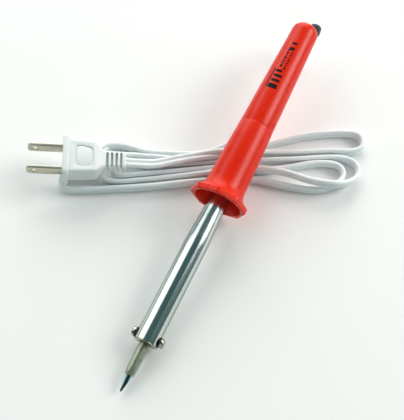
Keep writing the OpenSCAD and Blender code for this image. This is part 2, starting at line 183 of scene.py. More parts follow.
def chrome():
    """Bright plated tube, darker where it turns away, with draw lines and a straw tint at its hot end."""
    look = Look("chrome_steel", (0.64, 0.69, 0.68), 0.16, 1.0, Specular_Tint=(0.3, 0.36, 0.34, 1))
    look.tint(look.spread(look.along("Z", 26, 60), 0, 1, 0.22, 0), (0.78, 0.72, 0.6))
    look.tint(look.spread(look.noise(3, (1, 1, 6), 3), 0.45, 0.75, 0, 0.3), (0.7, 0.73, 0.73))
    look.gloss(look.noise(0.35, (1, 1, 60), 3), 0.13, 0.22)
    return look.relief(look.noise(0.25, (1, 1, 120), 2), 0.0016).material


def ring_nickel():
    look = Look("ring_nickel", (0.55, 0.5, 0.37), 0.28, 1.0)
    look.tint(look.spread(look.noise(1.2, detail=3), 0.4, 0.7, 0, 0.6), (0.33, 0.3, 0.21))
    look.gloss(look.noise(0.6), 0.18, 0.36)
    return look.relief(look.noise(0.15), 0.004).material


def bit_plating():
    """Dull nickel with turning marks round it, browner towards the barrel."""
    look = Look("bit_plating", (0.4, 0.425, 0.32), 0.4, 1.0)
    look.tint(look.spread(look.noise(1.6, (1, 1, 3), 4), 0.4, 0.68, 0, 0.7), (0.29, 0.3, 0.23))
    look.tint(look.spread(look.along("Z", 20, 25), 0, 1, 0, 0.55), (0.2, 0.17, 0.1))
    look.gloss(look.noise(0.8, detail=4), 0.34, 0.5)
    return look.relief(look.noise(0.14, (30, 30, 1), 1), 0.006).relief(look.noise(0.4), 0.004).material


def cone_steel():
    """Working cone: dark steel with painted reflections in its colour, a pale highlight down its left side
    and a teal sheen down its right side, darker at the point.
    """
    look = Look("cone_steel", (0.008, 0.03, 0.035), 0.14, 0.4)
    look.tint(look.spread(look.noise(0.9, (1, 1, 3), 3), 0.5, 0.75, 0, 0.5), (0.1, 0.2, 0.24))
    # painted reflection: a teal band down the cone's right side
    look.tint(look.along("X", 1.05, 1.55), (0.4, 0.7, 0.75))
    # painted highlight: a pale band down the cone's left side
    look.tint(look.along("X", 0, -0.5), (0.7, 0.93, 0.96))
    # darker at the point, which also fades the painted highlight and reflection there
    look.tint(look.spread(look.along("Z", 0.3, 3), 0, 1, 0.8, 0), (0.03, 0.1, 0.12))
    look.gloss(look.noise(0.4, (1, 1, 4)), 0.1, 0.2)
    return look.relief(look.noise(0.3, (1, 1, 5)), 0.006).material


def screw_steel():
    look = Look("screw_steel", (0.5, 0.48, 0.39), 0.2, 1.0)
    look.tint(look.spread(look.noise(0.7, detail=3), 0.45, 0.75, 0, 0.7), (0.24, 0.23, 0.18))
    look.gloss(look.noise(0.5), 0.12, 0.3)
    return look.relief(look.noise(0.12), 0.004).material


def washer_painted_shade():
    # a guessed washer under each screw head, coloured near-black as painted shade under the head
    look = Look("washer_dark", (0.035, 0.04, 0.04), 0.4, 0.8)
    look.tint(look.spread(look.noise(0.5, detail=3), 0.5, 0.75, 0, 0.6), (0.12, 0.12, 0.11))
    look.gloss(look.noise(0.4), 0.3, 0.5)
    return look.relief(look.noise(0.12), 0.006).material


def cord_pvc():
    """Soft white PVC with a bluish cast: extrusion lines are too fine to see, so it has a satin mottle."""
    look = Look("cord_pvc", (0.85, 0.9, 0.905), 0.34, Subsurface_Weight=0.12, Subsurface_Scale=0.0012)
    look.tint(look.spread(look.noise(9, detail=3), 0.4, 0.7, 0, 0.5), (0.81, 0.87, 0.885))
    look.gloss(look.noise(1.5, detail=3), 0.28, 0.42)
    return look.relief(look.noise(1.8), 0.02).relief(look.noise(0.15), 0.004).material


def plug_pvc():
    """The plug's stiffer white PVC, with the fine sparkle of an eroded mould."""
    look = Look("plug_pvc", (0.8, 0.84, 0.825), 0.4, Subsurface_Weight=0.1, Subsurface_Scale=0.001)
    look.tint(look.spread(look.noise(6, detail=3), 0.4, 0.7, 0, 0.5), (0.76, 0.81, 0.795))
    look.gloss(look.noise(1.1, detail=3), 0.34, 0.48)
    return look.relief(look.noise(0.12), 0.006).relief(look.noise(3), 0.012).material


def sleeve_rubber():
    look = Look("sleeve_rubber", (0.01, 0.018, 0.018), 0.5, Specular_IOR_Level=0.22)
    look.tint(look.spread(look.noise(1.2, detail=3), 0.45, 0.7, 0, 0.7), (0.035, 0.045, 0.043))
    look.gloss(look.noise(0.8), 0.42, 0.6)
    return look.relief(look.noise(0.15), 0.01).material


def blade_plating():
    """Nickel-plated brass, rolled lengthwise."""
    look = Look("blade_plating", (0.6, 0.57, 0.46), 0.28, 1.0)
    look.tint(look.spread(look.noise(0.35, (40, 1, 1), 3), 0.4, 0.7, 0, 0.6), (0.42, 0.39, 0.29))
    look.tint(look.spread(look.noise(2.5, detail=3), 0.5, 0.75, 0, 0.5), (0.66, 0.65, 0.58))
    look.gloss(look.noise(0.3, (50, 1, 1), 3), 0.22, 0.4)
    return look.relief(look.noise(0.1, (60, 1, 1)), 0.003).material


def print_ink():
    """Pad-printed black, a little thin in places."""
    look = Look("print_ink", (0.008, 0.004, 0.006), 0.45, Specular_IOR_Level=0.12)
    look.tint(look.spread(look.noise(0.35, detail=3), 0.56, 0.75, 0, 0.55), (0.16, 0.03, 0.03))
    look.gloss(look.noise(0.5), 0.38, 0.55)
    return look.relief(look.noise(0.12), 0.003).material


def plain(name, colour, other, roughness, metallic=0.0, grain=0.8, stretch=(1, 1, 1), depth=0.01):
    """A material of two near colours for the pieces inside."""
    look = Look(name, colour, roughness, metallic)
    look.tint(look.spread(look.noise(grain, stretch, 3), 0.4, 0.7, 0, 0.8), other)
    look.gloss(look.noise(grain * 0.6, stretch), roughness * 0.8, min(1, roughness * 1.25))
    return look.relief(look.noise(grain * 0.4, stretch), depth).material


MATERIALS = {
    "red_plastic": red_plastic(),
    "chrome_steel": chrome(),
    "ring_nickel": ring_nickel(),
    "bit_plating": bit_plating(),
    "screw_steel": screw_steel(),
    "washer_dark": washer_painted_shade(),
    "inner_steel": plain("inner_steel", (0.45, 0.45, 0.44), (0.3, 0.28, 0.25), 0.35, 1.0, 0.6, (1, 1, 20)),
    "mica": plain("mica", (0.55, 0.47, 0.33), (0.68, 0.62, 0.48), 0.3, 0.0, 1.5, (1, 3, 1)),
    "resistance_wire": plain("resistance_wire", (0.28, 0.26, 0.25), (0.16, 0.15, 0.17), 0.4, 1.0, 0.5),
    "ceramic": plain("ceramic", (0.8, 0.77, 0.68), (0.7, 0.66, 0.56), 0.7, 0.0, 0.5),
    "sleeving": plain("sleeving", (0.74, 0.74, 0.7), (0.5, 0.5, 0.46), 0.8, 0.0, 0.4, (1, 2, 1), 0.05),
    "copper": plain("copper", (0.72, 0.34, 0.18), (0.5, 0.2, 0.1), 0.3, 1.0, 0.4, (1, 20, 1)),
    "clamp_fibre": plain("clamp_fibre", (0.3, 0.17, 0.09), (0.42, 0.26, 0.15), 0.6, 0.0, 0.5, (6, 1, 1),
                         0.02),
    "cord_pvc": cord_pvc(),
    "sleeve_rubber": sleeve_rubber(),
    "plug_pvc": plug_pvc(),
    "bridge_plastic": plain("bridge_plastic", (0.4, 0.4, 0.38), (0.32, 0.32, 0.3), 0.5),
    "blade_plating": blade_plating(),
}
CONE = cone_steel()
INK = print_ink()

# The CAD pieces that no mesh replaces wear the same materials
for row in frame["record"]["subparts"]:
    mesh = frame["nodes"][row["node"]].data
    mesh.materials.clear()
    mesh.materials.append(MATERIALS[row["material_slot"]])

# ---- mesh helpers ----


def make_piece(name, bm, place, slot, body, smooth=32):
    """Turns a bmesh in millimetres into a piece that rides on a body."""
    bmesh.ops.recalc_face_normals(bm, faces=bm.faces)
    bmesh.ops.scale(bm, vec=(MM, MM, MM), verts=bm.verts)
    mesh = bpy.data.meshes.new(name)
    bm.to_mesh(mesh)
    bm.free()
    piece = bpy.data.objects.new(name, mesh)
    bpy.context.scene.collection.objects.link(piece)
    piece.matrix_world = place
    mesh.materials.append(MATERIALS[slot])
    shade(mesh, smooth)
    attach(piece, body)
    return piece


def shade(mesh, smooth):
    """Smooth shading with edges sharper than that many degrees kept sharp."""
    mesh.shade_smooth()
    mesh.set_sharp_from_angle(angle=math.radians(smooth))


def loft(bm, rings, joined=False):
    """Skins rings of equally many points, and caps the ends or joins the last ring to the first."""
    made = [[bm.verts.new(p) for p in ring] for ring in rings]
    pairs = list(zip(made, made[1:]))
    if joined:
        pairs.append((made[-1], made[0]))
    else:
        bm.faces.new(made[0])
        bm.faces.new(made[-1])
    for a, b in pairs:
        for i in range(len(a)):
            j = (i + 1) % len(a)
            bm.faces.new((a[i], a[j], b[j], b[i]))


def rounded(outline, radius, closed=True, steps=3):
    """Rounds each corner of a 2D outline by a short curve."""
    made = []
    count = len(outline)
    for i, corner in enumerate(outline):
        here = Vector(corner)
        if not closed and i in (0, count - 1):
            made.append(here)
            continue
        before, after = Vector(outline[i - 1]), Vector(outline[(i + 1) % count])
        reach = min(radius, (before - here).length * 0.45, (after - here).length * 0.45)
        start = here + (before - here).normalized() * reach
        end = here + (after - here).normalized() * reach
        for k in range(steps + 1):
            t = k / steps
            made.append(start * (1 - t) ** 2 + here * (2 * t * (1 - t)) + end * t * t)
    return made


def circle(radius, station, count=96):
    """A ring round the z axis."""
    return [
        (radius * math.cos(math.tau * i / count), radius * math.sin(math.tau * i / count), station)
        for i in range(count)
    ]


def lathe(outline, closed=True, count=96):
    """A solid of revolution from (radius, z) points: a closed outline is a ring, an open one is capped."""
    least = 0.01  # a tiny ring stands for a point on the axis
    bm = bmesh.new()
    loft(bm, [circle(max(r, least), z, count) for r, z in outline], joined=closed)
    return bm


def settle(piece, smooth):
    """Applies the piece's modifiers to its mesh."""
    graph = bpy.context.evaluated_depsgraph_get()
    mesh = bpy.data.meshes.new_from_object(piece.evaluated_get(graph))
    piece.modifiers.clear()
    old = piece.data
    piece.data = mesh
    bpy.data.meshes.remove(old)
    shade(mesh, smooth)


def carve(piece, cutters, bevel=0.0, smooth=32):
    """Cuts bmesh solids, in the piece's own millimetres, out of it and breaks the sharp edges."""
    tools = []
    for bm in cutters:
        bmesh.ops.recalc_face_normals(bm, faces=bm.faces)
        bmesh.ops.scale(bm, vec=(MM, MM, MM), verts=bm.verts)
        mesh = bpy.data.meshes.new("cutter")
        bm.to_mesh(mesh)
        bm.free()
        tool = bpy.data.objects.new("cutter", mesh)
        bpy.context.scene.collection.objects.link(tool)
        tool.matrix_world = piece.matrix_world
        cut = piece.modifiers.new("cut", "BOOLEAN")
        cut.operation = "DIFFERENCE"
        cut.solver = "EXACT"
        cut.object = tool
        tools.append(tool)
    if bevel:
        edge = piece.modifiers.new("edge", "BEVEL")
        edge.width = bevel * MM
        edge.segments = 2
        edge.limit_method = "ANGLE"
        edge.angle_limit = math.radians(40)
        edge.use_clamp_overlap = True
    bpy.context.view_layer.update()
    settle(piece, smooth)
    for tool in tools:
        bpy.data.objects.remove(tool)


def block(low, high):
    """A box as a bmesh."""
    bm = bmesh.new()
    bmesh.ops.create_cube(bm, size=1)
    size = [b - a for a, b in zip(low, high)]
    middle = [(a + b) / 2 for a, b in zip(low, high)]
    bmesh.ops.transform(bm, matrix=Matrix.Translation(middle) @ Matrix.Diagonal((*size, 1)), verts=bm.verts)
    return bm


# ---- cord ----

CORD_THICK = 2.6
REAR_POINTS = 4  # the route's first points hang from the sleeve
# The same route as the CAD's, in millimetres: x, y, z and roll, 0 on edge and 90 flat
ROUTE = [
    (1.6, 112.6, 18.2, 90), (-0.6, 110.6, 12, 90), (-3.5, 105.5, 7.2, 90), (-6, 97.5, 3.8, 90),
    (-7, 86, 2.6, 60), (-7.5, 66, 2.7, 0), (-8.5, 52, 2.7, 0), (-11, 41, 2.7, 0), (-16.5, 31, 2.7, 0),
    # out to the left and round under the plug's shoulder
    (-26, 22.7, 2.7, 0), (-38, 17, 2.7, 0), (-48.2, 13, 2.7, 0), (-55, 11.7, 2.7, 0), (-62, 10.7, 2.7, 0),
    (-68.3, 8, 2.9, 5), (-71.3, 3.5, 4, 30), (-71.8, -1, 5, 45), (-68.2, -9, 4.9, 45),
    (-62, -12.2, 3.4, 15), (-54, -10, 2.7, 0),
    (-42.5, -3, 2.7, 0), (-25, 8.5, 2.7, 0), (-5.5, 19.5, 6, 0),
    # the large right-hand loop, over the small one
    (8, 26.5, 8.1, 0), (21.5, 30.5, 8.1, 0), (35, 32, 8.1, 0), (46, 35.2, 8.1, 0), (52.5, 41, 5, 0),
    (55.2, 47.5, 2.7, 0), (53.2, 53.2, 2.7, 0), (47.5, 55.2, 2.7, 0), (38.5, 52.2, 2.7, 0),
    (21, 42.2, 2.7, 0), (-9, 26, 2.7, 0), (-28, 14.5, 2.7, 0), (-46.5, 5.2, 2.7, 0),
    # the short left-hand fold under the plug
    (-57, 3.2, 2.7, 0), (-61.2, -0.4, 2.7, 0), (-60.4, -5.4, 2.7, 0), (-55.5, -7, 2.7, 0),
    (-44, 0, 2.7, 0), (-26, 11.5, 2.7, 0), (-8, 22.5, 2.7, 0), (5, 26.5, 2.7, 0),
    # the small right-hand loop
    (21.5, 37.2, 2.7, 0), (29.7, 43.6, 2.7, 0), (38, 48.2, 2.7, 0), (44.4, 49.4, 2.7, 0),
    (48.4, 46, 2.7, 0), (48, 40, 2.7, 0), (43.5, 34, 2.7, 0), (35.5, 29.5, 2.7, 0), (22.5, 26, 2.7, 0),
    (9, 23, 2.7, 0), (-4.5, 16.5, 2.7, 0), (-20, 7, 2.7, 0), (-40, -6, 2.7, 0),
    # the long left-hand loop, round the plug's front corner and back under the plug
    (-60, -17.5, 2.7, 0), (-72, -24, 2.7, 0), (-77.2, -25.4, 2.7, 0), (-81.2, -22.8, 2.7, 0),
    (-82.2, -18, 2.7, 0), (-79.8, -13.4, 2.7, 10), (-76, -8.6, 2.6, 50), (-71, -3, 1.5, 90),
    (-66, 2.2, 2.5, 60), (-57.5, 6.3, 2.7, 0), (-46.5, 10.7, 2.7, 0), (-28.5, 18, 2.7, 0),
    (-12, 28.5, 2.7, 0), (-2, 37.5, 2.7, 0),
    # the upper right-hand loop
    (19, 57, 2.7, 0), (31, 65.3, 2.7, 0), (42, 71, 2.7, 0), (47.9, 71, 2.7, 0),
    (50.9, 66, 2.7, 0), (47.6, 61, 2.7, 0), (36.5, 55.6, 2.7, 0), (22, 47.5, 2.7, 0), (9, 40.5, 3.5, 0),
    # over the others, under the handle and to the plug
    (-1, 34.5, 7.2, 0), (-8, 30, 7.9, 0), (-14, 26.5, 7.4, 45), (-23, 20.5, 6.8, 90), (-32.5, 13.2, 7, 90),
    (-40, 6.4, 7.8, 90), (-46.5, 2, 9.6, 90),
]
# The sleeve's middle line, from inside the dome to its lip
SLEEVE = [
    (0.6, 92, 28.2), (0.9, 94, 27.9), (1, 94.5, 27.9), (1.7, 98, 27.5),
    (2.4, 103, 27), (2.7, 108.2, 26.4), (2.6, 111.7, 23.4), (1.6, 112.6, 18.2),
]
PLUG_LENGTH = 32


def smoothed(points, steps):
    """A curve through the points (Catmull-Rom), with steps samples to a span."""
    made = []
    last = len(points) - 1
    for i in range(last):
        a, b, c, d = (Vector(points[k]) for k in (max(i - 1, 0), i, i + 1, min(i + 2, last)))
        for k in range(steps):
            t = k / steps
            made.append(0.5 * (2 * b + (c - a) * t + (2 * a - 5 * b + 4 * c - d) * t * t
                               + (3 * b - a - 3 * c + d) * t ** 3))
    made.append(Vector(points[last]))
    return made


def section_frame(line, i, hanging):
    """Directions along, across and up a cord's section at sample i."""
    ahead, behind = line[min(i + 1, len(line) - 1)], line[max(i - 1, 0)]
    along = (ahead - behind).normalized()
    up = Vector((-1, 0, 0)).cross(along) if hanging else UP
    side = along.cross(up).normalized()
    return along, side, side.cross(along)


def lead_outline():
    """Twin lead: two round lobes with a valley between them on each side."""
    lobe = CORD_THICK / 2
    arc = [math.radians(a) for a in range(-150, 151, 25)]
    half = [(lobe + lobe * math.cos(a), lobe * math.sin(a)) for a in arc] + [(0, 0.48)]
    return half + [(-x, -y) for x, y in half]


def make_cord():
    end = ON_PLUG @ (Vector((PLUG_LENGTH - 2, 0, 0)) * MM) / MM
    steps = 8
    samples = smoothed([*ROUTE, (*end, 90)], steps)
    line = [Vector(s[:3]) for s in samples]
    outline = lead_outline()
    rings = []
    for i, sample in enumerate(samples):
        along, side, top = section_frame(line, i, i < REAR_POINTS * steps)
        roll = math.radians(sample[3])
        wide = math.cos(roll) * top + math.sin(roll) * side
        thin = along.cross(wide)
        rings.append([line[i] + wide * a + thin * b for a, b in outline])
        sunk = -min(p.z for p in rings[-1])
        if sunk > 0:
            rings[-1] = [p + UP * sunk for p in rings[-1]]
    bm = bmesh.new()
    loft(bm, rings)
    cord = make_piece("cord", bm, Matrix.Identity(4), "cord_pvc", "iron", smooth=60)
    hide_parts("power_cord")
    length = sum((b - a).length for a, b in zip(line, line[1:]))
    return cord, line, length


def make_sleeve():
    """Black rubber sleeve that tapers and flattens towards the lead, with a rolled lip."""
    widths = [8, 8, 6.3, 6.3, 6.3, 6.2, 6.1, 5.9]
    heights = [8, 8, 6.3, 6.3, 6.3, 5.8, 4.8, 3.9]
    steps = 6
    samples = smoothed([(*p, w, h) for p, w, h in zip(SLEEVE, widths, heights)], steps)
    line = [Vector(s[:3]) for s in samples]
    rings = []
    for i, sample in enumerate(samples):
        _, side, top = section_frame(line, i, True)
        lip = 0.25 * math.exp(-((len(samples) - 3 - i) / 1.6) ** 2)
        rings.append(oval(line[i], side, top, sample[3] / 2 + lip, sample[4] / 2 + lip))
    along, side, top = section_frame(line, len(line) - 1, True)
    width, height = widths[-1] / 2, heights[-1] / 2
    rings.append(oval(line[-1] + along * 0.3, side, top, width - 0.15, height - 0.15))
    rings.append(oval(line[-1] + along * 0.3, side, top, width - 0.3, height - 0.5))
    rings.append(oval(line[-1] - along * 1.5, side, top, width - 0.3, height - 0.6))
    bm = bmesh.new()
    loft(bm, rings)
    sleeve = make_piece("cord_sleeve", bm, Matrix.Identity(4), "sleeve_rubber", "iron", smooth=50)
    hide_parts("strain_relief")
    return sleeve


def oval(centre, side, top, half_width, half_height, count=40):
    """A superellipse ring, rounder than a rectangle and fuller than an ellipse."""
    ring = []
    for i in range(count):
        c, s = math.cos(math.tau * i / count), math.sin(math.tau * i / count)
        x = math.copysign(abs(c) ** 0.9, c) * half_width
        y = math.copysign(abs(s) ** 0.9, s) * half_height
        ring.append(centre + side * x + top * y)
    return ring


# ---- plug ----


def rounded_section(x, width, height, radius, corner=7):
    """A rounded rectangle across the plug at x."""
    ring = []
    for k, (sy, sz) in enumerate(((1, 1), (-1, 1), (-1, -1), (1, -1))):
        for i in range(corner):
            a = math.radians(90 * k + 90 * i / (corner - 1))
            ring.append((x, sy * (width / 2 - radius) + radius * math.cos(a),
                         sz * (height / 2 - radius) + radius * math.sin(a)))
    return ring


PLATE_THICK = 3
PLATE_SIZE = (22.4, 15.5)
BODY_SIZE = (18.2, 11.6)
NECK_SIZE = (10, 6.8)
SLOT_COUNT = 4
FIRST_SLOT = 22.55
SLOT_PITCH = 2.35
SLOT_WIDTH = 1.2


def plug_sections():
    """Rounded rectangles along the plug: x, width, height and corner radius."""
    plate_w, plate_h = PLATE_SIZE
    body_w, body_h = BODY_SIZE
    neck_w, neck_h = NECK_SIZE
    plate = [
        (0, plate_w - 0.7, plate_h - 0.7, 1.7), (0.1, plate_w - 0.3, plate_h - 0.3, 1.9),
        (0.4, plate_w, plate_h, 2), (PLATE_THICK - 0.4, plate_w, plate_h, 2),
        (PLATE_THICK - 0.1, plate_w - 0.3, plate_h - 0.3, 1.9),
        (PLATE_THICK, plate_w - 0.9, plate_h - 0.9, 1.6),
    ]
    body = [
        (PLATE_THICK, body_w + 0.7, body_h + 0.6, 1.2), (3.2, body_w + 0.2, body_h + 0.2, 1),
        (3.7, body_w, body_h, 0.9), (10, 17.7, 11.5, 0.9), (16.2, 16.7, 11.3, 0.9),
    ]
    shoulder = [
        (17, 16.2, 11.1, 1), (17.6, 15.2, 10.6, 1.2), (18.6, 13.4, 9.6, 1.5), (19.8, 11.4, 8, 1.8),
        (20.8, neck_w + 0.3, neck_h + 0.2, 1.9),
    ]
    neck = [
        (21.4, neck_w, neck_h, 1.9), (PLUG_LENGTH - 0.6, neck_w - 0.2, neck_h - 0.1, 1.9),
        (PLUG_LENGTH - 0.2, neck_w - 0.5, neck_h - 0.4, 1.8), (PLUG_LENGTH, neck_w - 1.2, neck_h - 1, 1.6),
    ]
    return plate + body + shoulder + neck


def make_plug():
    """Moulded plug: face plate, tapered body with a shoulder, and a neck that is slotted to bend."""
    bm = bmesh.new()
    loft(bm, [rounded_section(*s) for s in plug_sections()])
    plug = make_piece("plug_shell", bm, ON_PLUG, "plug_pvc", "iron")
    cutters = []
    for i in range(SLOT_COUNT):
        middle = FIRST_SLOT + i * SLOT_PITCH
        cutters.append(slot_cutter(middle - SLOT_WIDTH / 2, middle + SLOT_WIDTH / 2))
    for up in (1, -1):
        cutters.append(panel_cutter(up))
        cutters.append(groove_cutter(up))
    carve(plug, cutters, bevel=0.14)
    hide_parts("plug_body")
    return plug


def slot_cutter(x_low, x_high):
    """A C-shaped cutter: open to the near side, round the core that the lead runs in."""
    near, core, far, half_core, high = -7, -2.4, 3.7, 0.9, 6
    outline = [(near, -high), (far, -high), (far, -half_core), (core, -half_core),
               (core, half_core), (far, half_core), (far, high), (near, high)]
    bm = bmesh.new()
    loft(bm, [[(x, y, z) for y, z in outline] for x in (x_low, x_high)])
    return bm


PANEL_FLOOR = 5.5


def panel_outline(inset):
    """The panel narrows with the body and has round corners."""
    corners = [(6.3, -6.2), (15.6, -5.8), (15.6, 4.8), (6.3, 6.2)]
    moved = [(x + math.copysign(inset, 11 - x), y - math.copysign(inset, y)) for x, y in corners]
    return rounded(moved, 3, steps=6)


def panel_cutter(up):
    """A shallow recess."""
    bm = bmesh.new()
    loft(bm, [[(x, y, up * z) for x, y in panel_outline(0)] for z in (PANEL_FLOOR, 8)])
    return bm


def groove_cutter(up):
    """A finer groove along the foot of the recess's wall."""
    low, high = up * (PANEL_FLOOR - 0.3), up * (PANEL_FLOOR + 0.3)
    rings = []
    for a, b in zip(panel_outline(0.5), panel_outline(0)):
        rings.append([(*a, low), (*b, low), (*b, high), (*a, high)])
    bm = bmesh.new()
    loft(bm, rings, joined=True)
    return bm


BLADE_LENGTH = 17.8
BLADE_ROOT = 8.4
BLADE_PITCH = 12.7
BLADE_WIDTH = 6.35
BLADE_THICK = 1.5
BLADE_HOLE = (-BLADE_LENGTH + 3.6, 1.6)  # centre and radius


def make_blades():
    """Two blades with chamfered ends and a hole each, in one piece as in the CAD."""
    half = BLADE_WIDTH / 2
    outline = [(BLADE_ROOT, -half), (-BLADE_LENGTH + 1.2, -half), (-BLADE_LENGTH, -half + 1.4),
               (-BLADE_LENGTH, half - 1.4), (-BLADE_LENGTH + 1.2, half), (BLADE_ROOT, half)]
    centre, radius = BLADE_HOLE
    bm = bmesh.new()
    holes = []
    for side in (-1, 1):
        middle = side * BLADE_PITCH / 2
        near, far = middle - BLADE_THICK / 2, middle + BLADE_THICK / 2
        loft(bm, [[(x, y, z) for x, z in outline] for y in (near, far)])
        hole = bmesh.new()
        loft(hole, [[(centre + c, y, s) for c, s, _ in circle(radius, 0, 32)] for y in (near - 1, far + 1)])
        holes.append(hole)
    blades = make_piece("blades", bm, ON_PLUG, "blade_plating", "iron")
    carve(blades, holes, bevel=0.16)
    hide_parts("plug_blades")
    return blades


cord, cord_line, cord_length = make_cord()
sleeve = make_sleeve()
plug = make_plug()
blades = make_blades()

# ---- bit, ring, barrel and screws ----

SHANK_R = 2.65
SHANK_SEAT = 24
HIDDEN_R = 2.45
BIT_LENGTH = 72
CONE_END = 8.3


def make_bit():
    """Cone, rounded shoulder, shank and, behind its seat, the slimmer stretch that slides in the holder."""
    outline = [(0, 0), (0.3, 0.06), (0.47, 0.3), (1.86, CONE_END - 0.1), (1.9, CONE_END),
               (2.15, CONE_END + 0.02), (2.24, 8.5), (2.42, 9.8), (2.55, 11.2), (2.62, 12.6),
               (SHANK_R, 13.8), (SHANK_R, SHANK_SEAT), (HIDDEN_R, SHANK_SEAT + 0.01),
               (HIDDEN_R, BIT_LENGTH - 0.4), (HIDDEN_R - 0.4, BIT_LENGTH), (0, BIT_LENGTH)]
    piece = make_piece("bit", lathe(outline, closed=False), ON_IRON, "bit_plating", "bit", smooth=24)
    piece.data.materials.append(CONE)
    for face in piece.data.polygons:
        if face.center.z < (CONE_END + 0.01) * MM:
            face.material_index = 1
    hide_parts("soldering_bit")


BARREL_R = 5.9
TAIL_R = 4.95
WALL = 0.5
MOUTH = 25.3
TAPER = (79.5, 97.5)
TAIL_END = 125
FLANGE = (7.6, 0.7)  # radius and thickness


def make_barrel():
    """Drawn tube: straight, then a tapered neck with soft corners, then the narrow tail and its flange."""
    flange_r, flange_t = FLANGE
    start, end = TAPER
    corners = [(BARREL_R, MOUTH), (BARREL_R, start), (TAIL_R, end), (TAIL_R, TAIL_END - flange_t)]
    outside = rounded(corners, 3.5, False, 6)
    inside = [(TAIL_R - WALL, end), (BARREL_R - WALL, start), (BARREL_R - WALL, MOUTH)]
    flange = [(flange_r, TAIL_END - flange_t), (flange_r, TAIL_END), (TAIL_R - WALL, TAIL_END)]
    piece = make_piece("barrel_tube", lathe([*outside, *flange, *inside]), ON_IRON, "chrome_steel", "iron")
    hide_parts("barrel")


def make_end_ring():
    """Flanged ring in the barrel's mouth, with a thin warm-coloured face."""
    flange = [(3.05, 24.72), (5.7, 24.7), (6.14, 24.76), (6.14, 25), (5.7, 25.02), (5.7, 25.18)]
    collar = [(5.38, 25.18), (5.38, 26.1), (4.6, 26.1), (4.6, 25.18), (3.05, 25.18)]
    bm = lathe(rounded(flange + collar, 0.12))
    piece = make_piece("end_ring", bm, ON_IRON, "ring_nickel", "iron")
    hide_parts("barrel_end_ring")


# The screws' places are distances from the iron's middle line
SCREW_STATION = 27.9
SCREW_END = 2.7
WASHER_IN = 5.92
WASHER_OUT = 6.42
HEAD_OUT = 8.42


def on_screw(side):
    """The frame of a bit screw: z points out of the barrel."""
    station = Matrix.Translation((0, 0, SCREW_STATION * MM))
    return ON_IRON @ station @ Matrix.Rotation(side * math.pi / 2, 4, "Y")


def make_screw(side, word):
    """Pan head with a slot, on a plain shank."""
    shank = [(0, SCREW_END), (1.3, SCREW_END), (1.44, SCREW_END + 0.15), (1.44, WASHER_OUT + 0.02)]
    head = [(2.2, WASHER_OUT + 0.02), (2.34, WASHER_OUT + 0.2), (2.34, HEAD_OUT - 1),
            (2.22, HEAD_OUT - 0.62), (1.95, HEAD_OUT - 0.33), (1.5, HEAD_OUT - 0.12),
            (0.8, HEAD_OUT - 0.02), (0, HEAD_OUT)]
    piece = make_piece(f"{word}_screw_head", lathe(shank + head, closed=False, count=64), on_screw(side),
                       "screw_steel", f"{word}_screw_body", smooth=28)
    carve(piece, [block((-3, -0.4, HEAD_OUT - 0.9), (3, 0.4, HEAD_OUT + 1))], bevel=0.06, smooth=28)
    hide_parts(f"{word}_screw")


def make_washer(side, word):
    outline = [(1.5, WASHER_IN), (2.55, WASHER_IN), (2.55, WASHER_OUT), (1.5, WASHER_OUT)]
    piece = make_piece(f"{word}_washer_ring", lathe(rounded(outline, 0.12), count=64), on_screw(side),
                       "washer_dark", f"{word}_washer_body")
    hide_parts(f"{word}_washer")


make_bit()
make_barrel()
make_end_ring()
for side, word in ((-1, "left"), (1, "right")):
    make_screw(side, word)
    make_washer(side, word)

# ---- handle ----

OCTAGON_R = 15.15
SEAM = 147.8


def guard_ring(station, radius, roundness, count=160):
    """A ring that is an octagon with eased corners at roundness 0 and a circle at 1."""
    ring = []
    for i in range(count):
        a = 360 * i / count
        flat = radius * math.cos(math.radians(22.5)) / math.cos(math.radians(a % 45 - 22.5))
        octagon = min(flat, radius * 0.988)
        r = octagon * (1 - roundness) + radius * roundness
        ring.append((r * math.cos(math.radians(a)), r * math.sin(math.radians(a)), station))
    return ring


def make_guard():
    """Octagonal flange round a hollow cup, with a long sleeve behind it that narrows to the seam.

    The flange's rings are station, radius and roundness; the round ones are station and radius."""
    back = [(105.05, OCTAGON_R, 0), (105.35, 15.1, 0), (105.55, 14.92, 0), (105.68, 14.6, 0.04),
            (106, 13.8, 0.2), (106.5, 13.0, 0.42), (107.2, 12.2, 0.62), (108.2, 11.5, 0.8),
            (109.4, 10.95, 0.92), (110.8, 10.55, 0.98), (112.2, 10.33, 1), (113.6, 10.22, 1)]
    sleeve_outline = [(117, 10.07), (121.8, 9.9), (130.4, 9.7), (139, 9.33), (147.35, 8.98),
                      (147.62, 8.93), (147.78, 8.8), (SEAM, 8.6), (SEAM, 7.75)]
    inside = [(124.3, 7.75), (124.3, 5.02), (117.5, 5.02), (117.5, 7.3), (117.2, 7.6), (115.5, 8.6),
              (106, 11.6), (103, 12.25), (102.75, 12.36)]
    front = [(102.62, 12.55, 1), (102.6, 12.8, 0.8), (102.6, 14.7, 0), (102.68, 14.98, 0),
             (102.95, OCTAGON_R, 0)]
    rings = [guard_ring(*r) for r in front + back]
    rings += [guard_ring(s, r, 1) for s, r in sleeve_outline + inside]
    bm = bmesh.new()
    loft(bm, rings, joined=True)
    piece = make_piece("handle_guard", bm, ON_IRON, "red_plastic", "iron", smooth=30)
    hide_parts("front_guard")


GRIP_STATIONS = [147.84, 165.6, 179.2, 193, 207]
GRIP_RADII = [8.85, 8.43, 8.05, 7.6, 7.2]
DOME_POWER = 3  # flatter on top than a circle, which would be 2
IRON_LENGTH = 213.5


